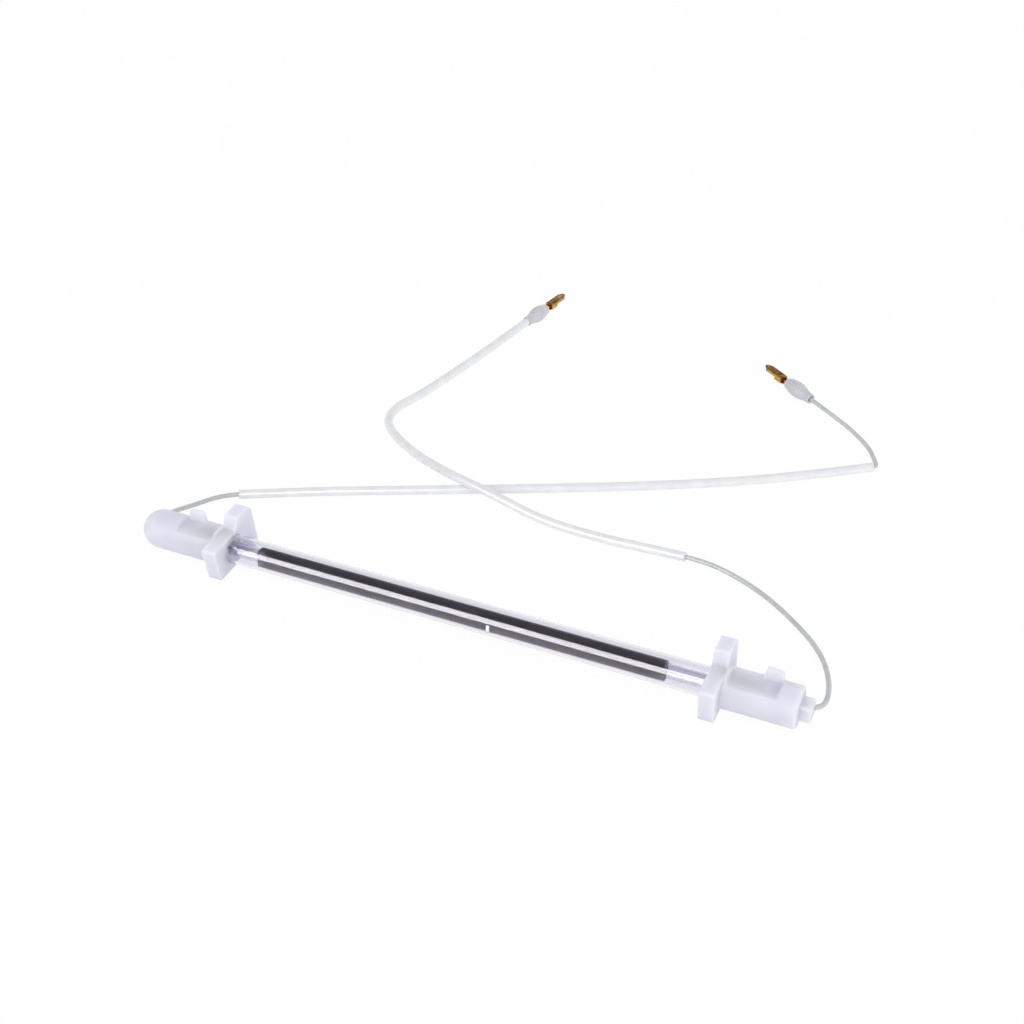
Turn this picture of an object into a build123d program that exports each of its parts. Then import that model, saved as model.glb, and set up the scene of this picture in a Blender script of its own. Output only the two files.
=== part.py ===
from build123d import *
import math
import os

os.makedirs("parts", exist_ok=True)

# Glass tube heater with two silicone end caps and two leads, lying as it rests.
# X runs along the tube, Z is up, and Z = 0 is the surface that it lies on.

# Glass tubes
glass_od = 13.0
glass_wall = 1.0
glass_span = 220.9
glass_insert = 7.8
inner_od = 6.3
inner_wall = 1.1

# Heating coil, close wound, which hangs loosely on the inner tube, with a tail at each end
coil_od = 9.1
coil_wire = 0.8
coil_gap_left = 13.6
coil_gap_right = 17.2
tail_wire = 0.7
tail_in_coil = 0.3
tail_bend_start = 9.5
tail_bend_end = 16.5
tail_bend_radius = 2.5
tail_side_angle = 39.0
saddle_place = 0.592
saddle_width = 1.4
saddle_thick = 0.3
saddle_arc = 220.0

# Clearances
grip_clearance = 0.1
slide_clearance = 0.05

# End caps: a flange plate, a round body and a cable exit
cap_radius = 8.9
floor_clearance = 0.2
plate_thick = 6.65
plate_near_foot = 12.8
plate_near_shoulder = 15.7
shoulder_height = 17.0
step_foot = 2.3
step_top = 4.9
tab_height = 23.0
tab_back = 13.8
tab_chamfer_width = 3.0
tab_chamfer_height = 3.0
plate_far_foot = 19.4
plate_round = 0.8
recess_floor = 6.2
recess_round = 1.5
lug_near = 3.9
lug_thick = 2.6
lug_length = 8.5
lug_top = 11.6
lug_drop = 0.7
lug_slope = 1.3
lug_draft = 0.5
lug_root = 0.5
tail_chamber_depth = 18.1
tail_chamber_radius = 4.3
crimp_chamber_radius = 2.2

left_body_length = 30.9
left_recess_start = 1.4
left_recess_length = 18.3
left_lug_start = 10.2
right_body_length = 31.15
right_recess_start = 1.6
right_recess_length = 21.0
right_lug_start = 14.0
right_end_round = 1.2
nub_length = 5.0
nub_width = 8.0
nub_height = 7.6
nub_round = 0.8

# Bushes between the two glass tubes, inside the plates
bush_length = 6.0
bush_inset = 0.9
bush_slot_width = 0.9

# Crimp that joins a coil tail to a lead
crimp_radius = 1.6
crimp_length = 7.0
crimp_gap = 0.5

# Leads, sleeves, boots and terminals
wire_radius = 1.1
left_lead_hold = 8.375
left_bend_reach = 6.225
right_lead_hold = 6.975
right_bend_reach = 2.725
core_radius = 0.7
core_strip = 5.0
sleeve_radius = 2.2
sleeve_bore = 1.3
sleeve_in_boot = 3.0
boot_length = 19.0
boot_collar_radius = 2.65
boot_belly_radius = 4.2
boot_mouth_radius = 2.8
boot_mouth_bore = 2.2
boot_wall = 0.8
boot_lead_in = 8.0
boot_rest_gap = 0.2
terminal_sheet = 0.4
terminal_reach = 18.8
terminal_neck = 3.6
neck_width = 2.6
neck_taper = 1.0
box_width = 4.6
box_height = 3.0
box_length = 5.3
box_roof_length = 3.8
tongue_rim = 1.6
nose_length = 2.6
nose_width = 3.2
dimple_radius = 0.6
dimple_depth = 0.2
crimp_barrel_radius = 1.2
crimp_barrel_length = 5.5
crimp_slit = 0.2
wing_length = 2.6
wing_in_boot = 0.6

# Places worked out from the sizes above
axis_height = cap_radius + floor_clearance
axis_y = (plate_near_shoulder - plate_far_foot) / 2
glass_radius = glass_od / 2
inner_radius = inner_od / 2
left_cap_length = plate_thick + left_body_length + cap_radius
right_cap_length = plate_thick + right_body_length + nub_length
total_length = left_cap_length + glass_span + right_cap_length
left_face = left_cap_length - total_length / 2
right_face = left_face + glass_span
left_neck = left_face - plate_thick
right_neck = right_face + plate_thick
left_dome = left_neck - left_body_length
right_shoulder = right_neck + right_body_length
right_end = right_shoulder + nub_length
tube_axis = Axis((0, axis_y, axis_height), (1, 0, 0))


def across(x, height=axis_height):
    """The plane square to the tube at x, looking along +X, with Y to the left and Z up."""
    return Plane(origin=(x, axis_y, height), x_dir=(0, 1, 0), z_dir=(1, 0, 0))


# Outer glass tube
with BuildPart() as outer_glass_tube:
    with BuildSketch(across(left_face - glass_insert)):
        Circle(glass_radius)
        Circle(glass_radius - glass_wall, mode=Mode.SUBTRACT)
    extrude(amount=glass_span + 2 * glass_insert)
outer_glass_tube.part.label = "outer_glass_tube"
export_step(outer_glass_tube.part, "parts/outer_glass_tube.step")

# Inner glass tube, which carries the coil
with BuildPart() as inner_glass_tube:
    with BuildSketch(across(left_face - glass_insert)):
        Circle(inner_radius)
        Circle(inner_radius - inner_wall, mode=Mode.SUBTRACT)
    extrude(amount=glass_span + 2 * glass_insert)
inner_glass_tube.part.label = "inner_glass_tube"
export_step(inner_glass_tube.part, "parts/inner_glass_tube.step")

# The coil hangs on the inner tube, so its own axis is lower than the tube's. Its tails leave from the
# middle of its wall and run along the inner tube on the side that faces forward and up.
coil_radius = coil_od / 2
coil_drop = coil_radius - coil_wire - inner_radius - slide_clearance
coil_height = axis_height - coil_drop
tail_turn = math.radians(tail_side_angle)
wall_middle = coil_radius - coil_wire / 2
drop_across = coil_drop * math.cos(tail_turn)
drop_along = coil_drop * math.sin(tail_turn)
tail_radius = math.sqrt(wall_middle**2 - drop_across**2) - drop_along


def beside(x, distance):
    """The point at x that lies a distance from the tube's axis, on the tails' side."""
    return (x, axis_y - distance * math.cos(tail_turn), axis_height + distance * math.sin(tail_turn))


# Bushes that centre the inner tube in the outer one, each with a slot for a tail
bush_outer = glass_radius - glass_wall - slide_clearance
bush_inner = inner_radius + slide_clearance
bush_slot_end = tail_radius + bush_slot_width / 2
bush_starts = {"left": left_face - bush_inset - bush_length, "right": right_face + bush_inset}
for side, start in bush_starts.items():
    with BuildPart() as tube_bush:
        with BuildSketch(across(start)):
            Circle(bush_outer)
            Circle(bush_inner, mode=Mode.SUBTRACT)
            with Locations(Rot(0, 0, 180 - tail_side_angle) * Pos(bush_slot_end / 2, 0)):
                Rectangle(bush_slot_end, bush_slot_width, mode=Mode.SUBTRACT)
        extrude(amount=bush_length)
    tube_bush.part.label = f"{side}_tube_bush"
    export_step(tube_bush.part, f"parts/{side}_tube_bush.step")

# Routes of the two leads, chosen by hand: from the crimp in the cap to the terminal. The first three
# points of each go with its cap.
lead_start = {"left": left_dome + left_lead_hold, "right": right_shoulder - right_lead_hold}
left_bend = left_dome - left_bend_reach
right_bend = right_end + right_bend_reach
boot_height = boot_belly_radius + boot_rest_gap
sleeve_height = sleeve_radius + slide_clearance
wire_height = wire_radius + grip_clearance
over_height = sleeve_height + 2 * sleeve_radius + 5 * slide_clearance
left_route = [
    (lead_start["left"], axis_y, axis_height), (left_bend, axis_y, axis_height), (left_bend - 0.4, 13.0, 6.6),
    (-151.4, 26.9, wire_height), (-141.8, 38.9, sleeve_height), (-127.0, 46.6, sleeve_height),
    (-97.5, 61.5, sleeve_height), (-53.5, 81.5, sleeve_height), (-3.5, 104.4, sleeve_height),
    (48.0, 129.2, sleeve_height), (86.5, 150.3, sleeve_height), (113.0, 167.4, sleeve_height),
    (128.0, 177.8, sleeve_height), (136.2, 183.6, sleeve_height), (140.4, 186.6, sleeve_height),
    (137.7, 192.6, 1.8), (133.2, 202.6, wire_height), (120.9, 216.0, wire_height),
    (103.1, 225.6, boot_height), (89.5, 235.8, boot_height),
]
right_route = [
    (lead_start["right"], axis_y, axis_height), (right_bend, axis_y, axis_height),
    (right_bend + 0.3, 17.2, 5.2), (148.8, 42.0, wire_height),
    (130.8, 59.2, wire_height), (112.2, 72.5, wire_height),
    (88.5, 81.0, sleeve_height), (65.0, 80.2, sleeve_height), (35.0, 78.5, sleeve_height),
    (5.5, 80.6, sleeve_height), (-23.5, 85.6, over_height), (-53.5, 93.8, over_height),
    (-79.0, 110.2, sleeve_height), (-98.6, 125.2, sleeve_height), (-101.4, 140.6, sleeve_height),
    (-94.8, 157.0, sleeve_height), (-87.0, 188.5, sleeve_height), (-80.9, 215.5, sleeve_height),
    (-74.1, 239.5, boot_height), (-70.5, 256.1, boot_height),
]
routes = {"left": left_route, "right": right_route}
sleeve_corners = {"left": range(5, 14), "right": range(7, 19)}


def bend_radii(route):
    """The radius at each inner point: 0.45 of the shorter run over the tangent of half the turn."""
    points = [Vector(*p) for p in route]
    radii = []
    for before, corner, after in zip(points, points[1:], points[2:]):
        run_in = corner - before
        run_out = after - corner
        half_turn = math.radians(run_in.get_angle(run_out)) / 2
        radii.append(0.45 * min(run_in.length, run_out.length) / math.tan(half_turn))
    return radii


def middle(a, b):
    return tuple((p + q) / 2 for p, q in zip(a, b))


def beyond(start, end, distance):
    """The point a distance past end, on the line from start to end."""
    way = (Vector(*end) - Vector(*start)).normalized()
    return tuple(Vector(*end) + way * distance)


# End of the coil's tails and of the leads inside the caps
outward = {"left": -1, "right": 1}
crimp_outer_end = {side: lead_start[side] - outward[side] * crimp_gap for side in outward}
crimp_inner_end = {side: crimp_outer_end[side] - outward[side] * crimp_length for side in outward}
crimp_middle = {side: (crimp_outer_end[side] + crimp_inner_end[side]) / 2 for side in outward}

# Heating coil: the close winding, and a tail at each end that bends to the axis at the crimp
coil_start = left_face + coil_gap_left
coil_end = right_face - coil_gap_right
coil_length = coil_end - coil_start
cap_face = {"left": left_face, "right": right_face}
tail_start = {"left": coil_start + tail_in_coil, "right": coil_end - tail_in_coil}
with BuildPart() as heating_coil:
    with BuildSketch(across(coil_start, coil_height)):
        Circle(coil_radius)
        Circle(coil_radius - coil_wire, mode=Mode.SUBTRACT)
    extrude(amount=coil_length)
    for side, way in outward.items():
        with BuildLine() as tail:
            FilletPolyline(
                beside(tail_start[side], tail_radius),
                beside(cap_face[side] + way * tail_bend_start, tail_radius),
                beside(cap_face[side] + way * tail_bend_end, 0),
                beside(crimp_middle[side], 0),
                radius=tail_bend_radius,
            )
        with BuildSketch(Plane(origin=tail.line @ 0, z_dir=tail.line % 0)):
            Circle(tail_wire / 2)
        sweep(path=tail.line)
heating_coil.part.label = "heating_coil"
export_step(heating_coil.part, "parts/heating_coil.step")

# Saddle that keeps the coil off the outer glass
saddle_x = coil_start + saddle_place * coil_length
saddle_inner = coil_radius + slide_clearance
saddle_outer = saddle_inner + saddle_thick
saddle_opening = 360 - saddle_arc
wedge_reach = 2 * glass_od
wedge_turns = [math.radians(90 + edge * saddle_opening / 2) for edge in (-1, 1)]
with BuildPart() as coil_saddle:
    with BuildSketch(across(saddle_x - saddle_width / 2, coil_height)):
        Circle(saddle_outer)
        Circle(saddle_inner, mode=Mode.SUBTRACT)
        with BuildLine():
            wedge = [(wedge_reach * math.cos(turn), wedge_reach * math.sin(turn)) for turn in wedge_turns]
            Polyline((0, 0), *wedge, close=True)
        make_face(mode=Mode.SUBTRACT)
    extrude(amount=saddle_width)
coil_saddle.part.label = "coil_saddle"
export_step(coil_saddle.part, "parts/coil_saddle.step")

# Crimp sleeves on the coil's tails
for side in outward:
    with BuildPart() as crimp_sleeve:
        with BuildSketch(across(min(crimp_inner_end[side], crimp_outer_end[side]))):
            Circle(crimp_radius)
            Circle(core_radius + slide_clearance, mode=Mode.SUBTRACT)
        extrude(amount=crimp_length)
    crimp_sleeve.part.label = f"{side}_crimp_sleeve"
    export_step(crimp_sleeve.part, f"parts/{side}_crimp_sleeve.step")

# Bare copper of each lead inside its crimp sleeve
core_in_crimp = crimp_length / 2 - slide_clearance + crimp_gap
for side in outward:
    with BuildPart() as core_at_coil:
        with BuildSketch(across(min(lead_start[side], lead_start[side] - outward[side] * core_in_crimp))):
            Circle(core_radius)
        extrude(amount=core_in_crimp)
    core_at_coil.part.label = f"{side}_core_at_coil"
    export_step(core_at_coil.part, f"parts/{side}_core_at_coil.step")


def plate_outline():
    """The flange plate's outline around the tube's axis: a wide foot, a shoulder and a raised tab."""
    foot = -axis_height
    shoulder = shoulder_height - axis_height
    tab = tab_height - axis_height
    Polyline(
        (-plate_near_foot, foot),
        (-plate_near_shoulder, shoulder),
        (step_foot, shoulder),
        (step_top, tab),
        (tab_back, tab),
        (tab_back + tab_chamfer_width, tab - tab_chamfer_height),
        (plate_far_foot, foot),
        close=True,
    )


# End caps: flange plate, round body, and a domed end on the left or a flat end with a nub on the right
cap_neck = {"left": left_neck, "right": right_neck}
body_length = {"left": left_body_length, "right": right_body_length}
recess_start = {"left": left_recess_start, "right": right_recess_start}
recess_length = {"left": left_recess_length, "right": right_recess_length}
lug_start = {"left": left_lug_start, "right": right_lug_start}
for side, way in outward.items():
    face = cap_face[side]
    neck = cap_neck[side]
    with BuildPart() as end_cap:
        with BuildSketch(across(face)):
            with BuildLine():
                plate_outline()
            make_face()
        extrude(amount=way * plate_thick)
        fillet(end_cap.edges().filter_by(Axis.X), plate_round)
        with BuildSketch(across(neck)):
            Circle(cap_radius)
        extrude(amount=way * body_length[side])
        if side == "left":
            with BuildSketch(Plane(origin=(left_dome, axis_y, axis_height), z_dir=(0, -1, 0), x_dir=(1, 0, 0))):
                with BuildLine():
                    CenterArc((0, 0), cap_radius, 90, 90)
                    Polyline((-cap_radius, 0), (0, 0), (0, cap_radius))
                make_face()
            revolve(axis=tube_axis)
        else:
            fillet(end_cap.faces().sort_by(Axis.X)[-1].edges(), right_end_round)
            with BuildSketch(across(right_shoulder)):
                RectangleRounded(nub_width, nub_height, nub_round)
            extrude(amount=nub_length)
        # Flat recess in the top of the body
        recess_middle = neck + way * (recess_start[side] + recess_length[side] / 2)
        recess_tall = 2 * cap_radius - recess_floor
        with BuildSketch(Plane(origin=(recess_middle, axis_y, axis_height), z_dir=(0, -1, 0), x_dir=(1, 0, 0))):
            with Locations((0, recess_floor + recess_tall / 2)):
                RectangleRounded(recess_length[side], recess_tall, recess_round)
        extrude(amount=2 * cap_radius, both=True, mode=Mode.SUBTRACT)
        # Upright lug at the back of the recess, its inner end sloping and its top falling outwards
        lug_inner = neck + way * lug_start[side]
        lug_outer = lug_inner + way * lug_length
        lug_base = recess_floor - lug_root
        with BuildSketch(Plane(origin=(0, axis_y + lug_near, axis_height), z_dir=(0, -1, 0), x_dir=(1, 0, 0))):
            with BuildLine():
                Polyline(
                    (lug_inner, lug_base), (lug_inner + way * lug_slope, lug_top),
                    (lug_outer - way * lug_draft, lug_top - lug_drop), (lug_outer, lug_base), close=True,
                )
            make_face()
        extrude(amount=-lug_thick)
        # Stepped bore for the tubes, the tail's bend and the crimp
        steps = [
            (glass_insert, glass_radius + grip_clearance),
            (tail_chamber_depth, tail_chamber_radius),
            (abs(lead_start[side] - face), crimp_chamber_radius),
        ]
        for depth, radius in steps:
            with BuildSketch(across(face)):
                Circle(radius)
            extrude(amount=way * depth, mode=Mode.SUBTRACT)
        # Channel for the lead
        route = routes[side]
        with BuildLine() as channel:
            FilletPolyline(route[0], route[1], middle(route[1], route[2]), radius=bend_radii(route)[0])
        with BuildSketch(Plane(origin=channel.line @ 0, z_dir=channel.line % 0)):
            Circle(wire_radius + grip_clearance)
        sweep(path=channel.line, mode=Mode.SUBTRACT)
    end_cap.part.label = f"{side}_end_cap"
    export_step(end_cap.part, f"parts/{side}_end_cap.step")
    print(side, "end cap solids", len(end_cap.solids()), "volume", round(end_cap.part.volume, 1))

# Lead wires, each one length from the crimp in the cap to the terminal
for side, route in routes.items():
    radii = bend_radii(route)
    with BuildPart() as lead_wire:
        with BuildLine() as wire_path:
            FilletPolyline(*route, radius=radii)
        with BuildSketch(Plane(origin=wire_path.line @ 0, z_dir=wire_path.line % 0)):
            Circle(wire_radius)
        sweep(path=wire_path.line)
    lead_wire.part.label = f"{side}_lead_wire"
    export_step(lead_wire.part, f"parts/{side}_lead_wire.step")
    wire_length = wire_path.wire().length
    wire_volume = math.pi * wire_radius**2 * wire_length
    print(side, "lead wire length", round(wire_length, 1))
    print(side, "lead wire radii", [round(r, 1) for r in radii])
    print(side, "lead wire volume", round(lead_wire.part.volume, 2), "expected", round(wire_volume, 2))

# Sleeves over the leads, each along the same bends as its wire
boot_start = {side: beyond(route[-2], route[-1], -boot_lead_in) for side, route in routes.items()}
sleeve_ends = {
    "left": (middle(left_route[4], left_route[5]), middle(left_route[13], left_route[14])),
    "right": (
        middle(right_route[6], right_route[7]),
        beyond(right_route[-2], boot_start["right"], sleeve_in_boot),
    ),
}
for side, (first_end, last_end) in sleeve_ends.items():
    route = routes[side]
    radii = bend_radii(route)
    corners = [route[number] for number in sleeve_corners[side]]
    corner_radii = [radii[number - 1] for number in sleeve_corners[side]]
    with BuildPart() as lead_sleeve:
        with BuildLine() as sleeve_path:
            FilletPolyline(first_end, *corners, last_end, radius=corner_radii)
        with BuildSketch(Plane(origin=sleeve_path.line @ 0, z_dir=sleeve_path.line % 0)):
            Circle(sleeve_radius)
            Circle(sleeve_bore, mode=Mode.SUBTRACT)
        sweep(path=sleeve_path.line)
    lead_sleeve.part.label = f"{side}_lead_sleeve"
    export_step(lead_sleeve.part, f"parts/{side}_lead_sleeve.step")
    sleeve_length = sleeve_path.wire().length
    sleeve_volume = math.pi * (sleeve_radius**2 - sleeve_bore**2) * sleeve_length
    print(side, "sleeve length", round(sleeve_length, 1))
    print(side, "sleeve volume", round(lead_sleeve.part.volume, 2), "expected", round(sleeve_volume, 2))

# Boots: soft bulbs that close on the wire or its sleeve and cover the crimp
held_radius = {"left": wire_radius + slide_clearance, "right": sleeve_radius + slide_clearance}
belly_at = 0.6 * boot_length
collar_end = {"left": boot_lead_in / 2, "right": sleeve_in_boot + grip_clearance}
for side, route in routes.items():
    way = Vector(*route[-1]) - Vector(*route[-2])
    bore = held_radius[side]
    lead_plane = Plane(origin=boot_start[side], x_dir=way, z_dir=Vector(0, 0, 1))
    with BuildPart() as terminal_boot:
        with BuildSketch(lead_plane):
            with BuildLine():
                outside = Spline(
                    (0, boot_collar_radius), (boot_length / 5, boot_collar_radius + grip_clearance),
                    (belly_at, boot_belly_radius), (boot_length, boot_mouth_radius),
                )
                Polyline(
                    outside @ 1, (boot_length, boot_mouth_bore), (belly_at, boot_belly_radius - boot_wall),
                    (collar_end[side], bore), (0, bore), outside @ 0,
                )
            make_face()
        revolve(axis=Axis(lead_plane.origin, lead_plane.x_dir))
    terminal_boot.part.label = f"{side}_terminal_boot"
    export_step(terminal_boot.part, f"parts/{side}_terminal_boot.step")

# Bare copper of each lead inside the terminal's barrel
for side, route in routes.items():
    way = Vector(*route[-1]) - Vector(*route[-2])
    with BuildPart() as core_at_terminal:
        with BuildSketch(Plane(origin=route[-1], z_dir=way)):
            Circle(core_radius)
        extrude(amount=core_strip)
    core_at_terminal.part.label = f"{side}_core_at_terminal"
    export_step(core_at_terminal.part, f"parts/{side}_core_at_terminal.step")

# Terminals: one brass strip each, rolled into a barrel on the copper and folded into a box, with a raised
# tongue at the tip
barrel_outer = crimp_barrel_radius + terminal_sheet
barrel_start = boot_lead_in + slide_clearance
wing_start = boot_length - wing_in_boot
box_start = boot_length + terminal_neck
box_end = box_start + box_length
tip = boot_length + terminal_reach
nose_start = tip - nose_length
rim_start = box_end - terminal_sheet
half_neck = neck_width / 2
half_box = box_width / 2
half_nose = nose_width / 2
for side, route in routes.items():
    way = Vector(*route[-1]) - Vector(*route[-2])
    lead_plane = Plane(origin=boot_start[side], x_dir=way, z_dir=Vector(0, 0, 1))
    strip_plane = lead_plane.offset(-barrel_outer)
    with BuildPart() as terminal:
        with BuildSketch(strip_plane):
            with BuildLine():
                Polyline(
                    (box_end, half_box), (box_start, half_box), (box_start - neck_taper, half_neck),
                    (barrel_start, half_neck), (barrel_start, -half_neck), (box_start - neck_taper, -half_neck),
                    (box_start, -half_box), (box_end, -half_box), close=True,
                )
            make_face()
        extrude(amount=terminal_sheet)
        # Side walls and end wall of the box, its roof, and past a window in the roof the tongue
        with BuildSketch(strip_plane):
            with Locations((box_end - terminal_sheet / 2, 0)):
                Rectangle(terminal_sheet, box_width)
            for edge in (-1, 1):
                with Locations(((box_start + box_end) / 2, edge * (half_box - terminal_sheet / 2))):
                    Rectangle(box_length, terminal_sheet)
        extrude(amount=box_height)
        with BuildSketch(strip_plane.offset(box_height - terminal_sheet)):
            with Locations((box_start + box_roof_length / 2, 0)):
                Rectangle(box_roof_length, box_width)
            with BuildLine():
                nose = ThreePointArc((tip - half_nose, -half_nose), (tip, 0), (tip - half_nose, half_nose))
                Polyline(
                    nose @ 1, (nose_start, half_box), (box_end, half_box), (box_end, -half_box),
                    (nose_start, -half_box), nose @ 0,
                )
            make_face()
        extrude(amount=terminal_sheet)
        # Dimple near the tongue's tip
        with BuildSketch(strip_plane.offset(box_height)):
            with Locations((tip - half_nose, 0)):
                Circle(dimple_radius)
        extrude(amount=-dimple_depth, mode=Mode.SUBTRACT)
        # Rims that hang from both sides of the tongue
        with BuildSketch(strip_plane.offset(box_height - tongue_rim)):
            for edge in (-1, 1):
                with Locations(((rim_start + nose_start) / 2, edge * (half_box - terminal_sheet / 2))):
                    Rectangle(nose_start - rim_start, terminal_sheet)
        extrude(amount=tongue_rim)
        # Two wings at the boot's mouth
        with BuildSketch(strip_plane):
            for edge in (-1, 1):
                with Locations((wing_start + wing_length / 2, edge * (half_neck - terminal_sheet / 2))):
                    Rectangle(wing_length, terminal_sheet)
        extrude(amount=2 * barrel_outer - terminal_sheet)
        # Barrel rolled around the copper, with the slit where its edges meet
        barrel_origin = lead_plane.from_local_coords((barrel_start, 0, 0))
        with BuildSketch(Plane(origin=barrel_origin, x_dir=(0, 0, 1), z_dir=way)):
            Circle(barrel_outer)
            Circle(core_radius + slide_clearance, mode=Mode.SUBTRACT)
            with Locations((barrel_outer, 0)):
                Rectangle(2 * (barrel_outer - core_radius), crimp_slit, mode=Mode.SUBTRACT)
        extrude(amount=crimp_barrel_length)
    terminal.part.label = f"{side}_terminal"
    export_step(terminal.part, f"parts/{side}_terminal.step")
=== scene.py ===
import math

import bmesh
import bpy
from mathutils import Matrix, Vector


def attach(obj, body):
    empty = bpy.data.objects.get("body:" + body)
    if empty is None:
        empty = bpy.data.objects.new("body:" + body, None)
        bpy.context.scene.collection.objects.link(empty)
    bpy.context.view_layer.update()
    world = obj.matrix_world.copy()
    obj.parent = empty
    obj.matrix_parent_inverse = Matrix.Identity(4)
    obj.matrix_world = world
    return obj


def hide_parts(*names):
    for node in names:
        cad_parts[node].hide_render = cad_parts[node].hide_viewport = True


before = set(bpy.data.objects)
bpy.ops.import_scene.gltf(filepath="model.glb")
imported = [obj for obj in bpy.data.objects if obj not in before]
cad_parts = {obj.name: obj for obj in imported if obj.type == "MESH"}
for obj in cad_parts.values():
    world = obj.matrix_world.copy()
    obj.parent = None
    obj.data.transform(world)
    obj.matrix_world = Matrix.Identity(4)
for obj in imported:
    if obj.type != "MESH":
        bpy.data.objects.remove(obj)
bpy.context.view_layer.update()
scene = bpy.context.scene
scene.view_settings.view_transform = "Standard"

# Camera: the photograph's own place and lens, worked out from the glass tube's outline and the corners
# of both flange plates. It looks down from the front right, square to no side of the heater.
camera_data = bpy.data.cameras.new("photo_camera")
camera_data.lens = 52.73
camera_data.sensor_width = 36.0
camera_data.clip_end = 20.0
camera = bpy.data.objects.new("photo_camera", camera_data)
camera.location = (0.21535, -0.44075, 0.4202)
camera.rotation_euler = (math.radians(53.661), 0.0, math.radians(23.281))
scene.collection.objects.link(camera)
scene.camera = camera

# Studio floor: a plain white sheet. Seen directly, mirrored or through the glass it is as white as the
# photograph's background, and a small share of it is left to take the soft shadows.
SHADOW_SHARE = 0.05
FLOOR_REACH = 6.0


def new_material(name):
    """An empty node material with its output, for one finish of the heater or the studio."""
    material = bpy.data.materials.new(name)
    material.use_nodes = True
    tree = material.node_tree
    tree.nodes.clear()
    tree.nodes.new("ShaderNodeOutputMaterial")
    return material, tree


def math_node(tree, operation, *values):
    """A Math node over sockets and plain numbers."""
    node = tree.nodes.new("ShaderNodeMath")
    node.operation = operation
    for socket, value in zip(node.inputs, values):
        if isinstance(value, (int, float)):
            socket.default_value = value
        else:
            tree.links.new(value, socket)
    return node.outputs[0]


def seen_ray(tree):
    """1 for rays that come from the camera, a reflection or through glass, else 0."""
    path = tree.nodes.new("ShaderNodeLightPath")
    mirrored = math_node(tree, "MAXIMUM", path.outputs["Is Camera Ray"], path.outputs["Is Glossy Ray"])
    return math_node(tree, "MAXIMUM", mirrored, path.outputs["Is Transmission Ray"])


floor_material, floor_tree = new_material("studio_floor")
floor_diffuse = floor_tree.nodes.new("ShaderNodeBsdfDiffuse")
floor_diffuse.inputs["Color"].default_value = (0.97, 0.97, 0.975, 1.0)
floor_glow = floor_tree.nodes.new("ShaderNodeEmission")
floor_glow.inputs["Color"].default_value = (1.0, 1.0, 1.0, 1.0)
floor_glow.inputs["Strength"].default_value = 1.0
floor_share = math_node(floor_tree, "MULTIPLY", seen_ray(floor_tree), 1.0 - SHADOW_SHARE)
floor_mix = floor_tree.nodes.new("ShaderNodeMixShader")
floor_tree.links.new(floor_share, floor_mix.inputs["Fac"])
floor_tree.links.new(floor_diffuse.outputs[0], floor_mix.inputs[1])
floor_tree.links.new(floor_glow.outputs[0], floor_mix.inputs[2])
floor_tree.links.new(floor_mix.outputs[0], floor_tree.nodes["Material Output"].inputs["Surface"])
floor_mesh = bpy.data.meshes.new("studio_floor")
floor_corners = [
    (-FLOOR_REACH, -FLOOR_REACH, 0), (FLOOR_REACH, -FLOOR_REACH, 0),
    (FLOOR_REACH, FLOOR_REACH, 0), (-FLOOR_REACH, FLOOR_REACH, 0),
]
floor_mesh.from_pydata(floor_corners, [], [(0, 1, 2, 3)])
floor_mesh.materials.append(floor_material)
floor = bpy.data.objects.new("studio_floor", floor_mesh)
scene.collection.objects.link(floor)

# Studio light: a pale surround that mirrors dark higher up, as a room does, a soft box above and one low in
# front, and a long reflector behind the camera, which gives the tube its bright stripe.
world = bpy.data.worlds.new("studio")
scene.world = world
world.use_nodes = True
world_tree = world.node_tree
world_tree.nodes.clear()
world_out = world_tree.nodes.new("ShaderNodeOutputWorld")
world_light = world_tree.nodes.new("ShaderNodeBackground")
world_light.inputs["Color"].default_value = (0.97, 0.98, 1.0, 1.0)
world_light.inputs["Strength"].default_value = 0.92
world_seen = world_tree.nodes.new("ShaderNodeBackground")
world_seen.inputs["Strength"].default_value = 1.0
world_place = world_tree.nodes.new("ShaderNodeTexCoord")
world_axes = world_tree.nodes.new("ShaderNodeSeparateXYZ")
world_tree.links.new(world_place.outputs["Generated"], world_axes.inputs[0])
world_height = world_tree.nodes.new("ShaderNodeValToRGB")
world_height.color_ramp.elements[0].position = 0.1
world_height.color_ramp.elements[0].color = (1.0, 1.0, 1.0, 1.0)
world_height.color_ramp.elements[1].position = 0.45
world_height.color_ramp.elements[1].color = (0.25, 0.25, 0.28, 1.0)
world_tree.links.new(world_axes.outputs["Z"], world_height.inputs["Fac"])
world_tree.links.new(world_height.outputs["Color"], world_seen.inputs["Color"])
world_mix = world_tree.nodes.new("ShaderNodeMixShader")
world_tree.links.new(seen_ray(world_tree), world_mix.inputs["Fac"])
world_tree.links.new(world_light.outputs[0], world_mix.inputs[1])
world_tree.links.new(world_seen.outputs[0], world_mix.inputs[2])
world_tree.links.new(world_mix.outputs[0], world_out.inputs["Surface"])


def soft_box(name, place, target, width, depth, watts, lights=True, mirrored=True):
    """A rectangular lamp at place that faces target, and lights the pieces, is mirrored in them or both."""
    lamp_data = bpy.data.lights.new(name, "AREA")
    lamp_data.shape = "RECTANGLE"
    lamp_data.size = width
    lamp_data.size_y = depth
    lamp_data.energy = watts
    lamp = bpy.data.objects.new(name, lamp_data)
    way = Vector(target) - Vector(place)
    lamp.matrix_world = Matrix.Translation(place) @ way.to_track_quat("-Z", "Y").to_matrix().to_4x4()
    lamp.visible_diffuse = lights
    lamp.visible_glossy = mirrored
    lamp.visible_transmission = mirrored
    scene.collection.objects.link(lamp)


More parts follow.
